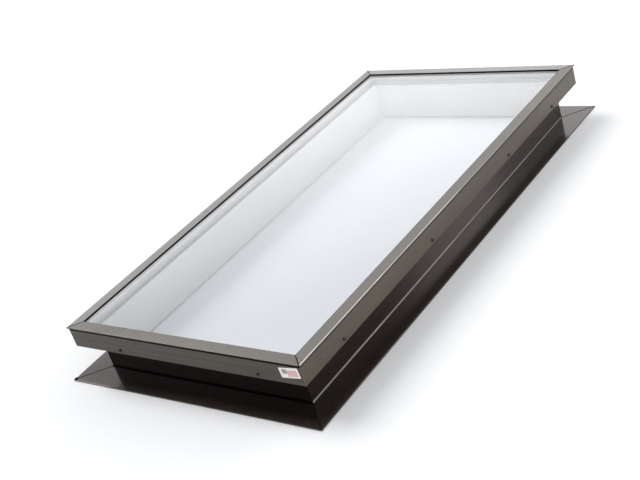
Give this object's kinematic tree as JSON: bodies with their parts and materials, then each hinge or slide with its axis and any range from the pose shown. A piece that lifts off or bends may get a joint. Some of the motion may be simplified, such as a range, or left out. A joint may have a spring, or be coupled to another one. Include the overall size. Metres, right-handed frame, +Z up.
{
  "type": "fixed roof skylight",
  "caption": "Fixed self-flashing roof skylight: insulating glass on a white hollow frame, capped by a mitred bronze retainer, with a bronze curb and a flat roof flange.",
  "frame": {"origin": "centre of the base, on the underside of the flange's hem", "axes": "+X across the short side, +Y along the long side, +Z up out of the roof towards the sky"},
  "size_m": [0.6682, 1.2778, 0.1282],
  "materials": {
    "retainer_bronze": "satin bronze anodised, fine extrusion grain",
    "flashing_bronze": "satin dark bronze coated sheet",
    "frame_white": "matt white extruded plastic",
    "clear_glass": "clear polished",
    "gasket_rubber": "matt black",
    "seal_black": "matt black sealant",
    "foam_tape": "matt pale foam",
    "spacer_pale": "pale lacquered strip, satin",
    "key_metal": "bright mill finish",
    "screw_dark": "dark coated",
    "label_white": "matt white film, bare"
  },
  "bodies": {
    "root": {"retainer_front": "retainer_bronze", "retainer_right": "retainer_bronze", "retainer_back": "retainer_bronze", "retainer_left": "retainer_bronze", "glazing_gasket": "gasket_rubber", "outer_pane": "clear_glass", "inner_pane": "clear_glass", "spacer_bar": "spacer_pale", "edge_seal": "seal_black", "glazing_tape": "foam_tape", "setting_blocks": "gasket_rubber", "frame_front": "frame_white", "frame_right": "frame_white", "frame_back": "frame_white", "frame_left": "frame_white", "flashing_front": "flashing_bronze", "flashing_right": "flashing_bronze", "flashing_back": "flashing_bronze", "flashing_left": "flashing_bronze", "bedding_seal": "seal_black", "corner_key_front_left": "key_metal", "corner_key_front_right": "key_metal", "corner_key_back_right": "key_metal", "corner_key_back_left": "key_metal", "retainer_screws": "screw_dark", "flashing_screws": "screw_dark", "label_plate": "label_white"}
  },
  "joints": []
}
